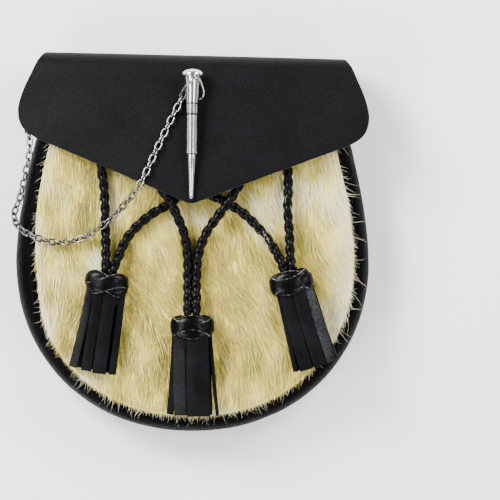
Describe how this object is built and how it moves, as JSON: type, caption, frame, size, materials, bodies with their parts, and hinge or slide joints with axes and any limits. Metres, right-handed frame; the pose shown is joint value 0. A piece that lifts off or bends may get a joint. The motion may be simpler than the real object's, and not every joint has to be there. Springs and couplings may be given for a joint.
{
  "type": "sporran pouch",
  "caption": "Rounded leather pouch with a fur front, a pointed flap with a turned pin on a fine chain, and leather tassels hung from crossing braided cords.",
  "frame": {"origin": "middle of the back, on the flat face that the pouch lies on", "axes": "+Z out of the pouch's front, +Y to its folded top edge, +X to the right as seen from the front"},
  "size_m": [0.2225, 0.2356, 0.0564],
  "materials": {
    "smooth_leather": "matt black, fine grain",
    "pebble_leather": "black, pebble grained, slight sheen",
    "glossy_leather": "polished black, braided and plaited",
    "fur": "soft cream fur, one to one and a half centimetres long",
    "bright_steel": "turned and polished",
    "nickel_wire": "nickel plated wire, slightly warm"
  },
  "bodies": {
    "root": {"back_panel": "smooth_leather", "gusset": "pebble_leather", "fur_front": "fur", "flap": "smooth_leather", "pin": "bright_steel", "pin_post": "bright_steel", "pin_ring": "nickel_wire", "chain": "nickel_wire", "cord_left": "glossy_leather", "cord_middle": "glossy_leather", "cord_right": "glossy_leather", "knot_left": "glossy_leather", "knot_middle": "glossy_leather", "knot_right": "glossy_leather", "tassel_left": "smooth_leather", "tassel_middle": "smooth_leather", "tassel_right": "smooth_leather", "tab_left": "smooth_leather", "tab_right": "smooth_leather", "ring_left": "nickel_wire", "ring_right": "nickel_wire"}
  },
  "joints": []
}
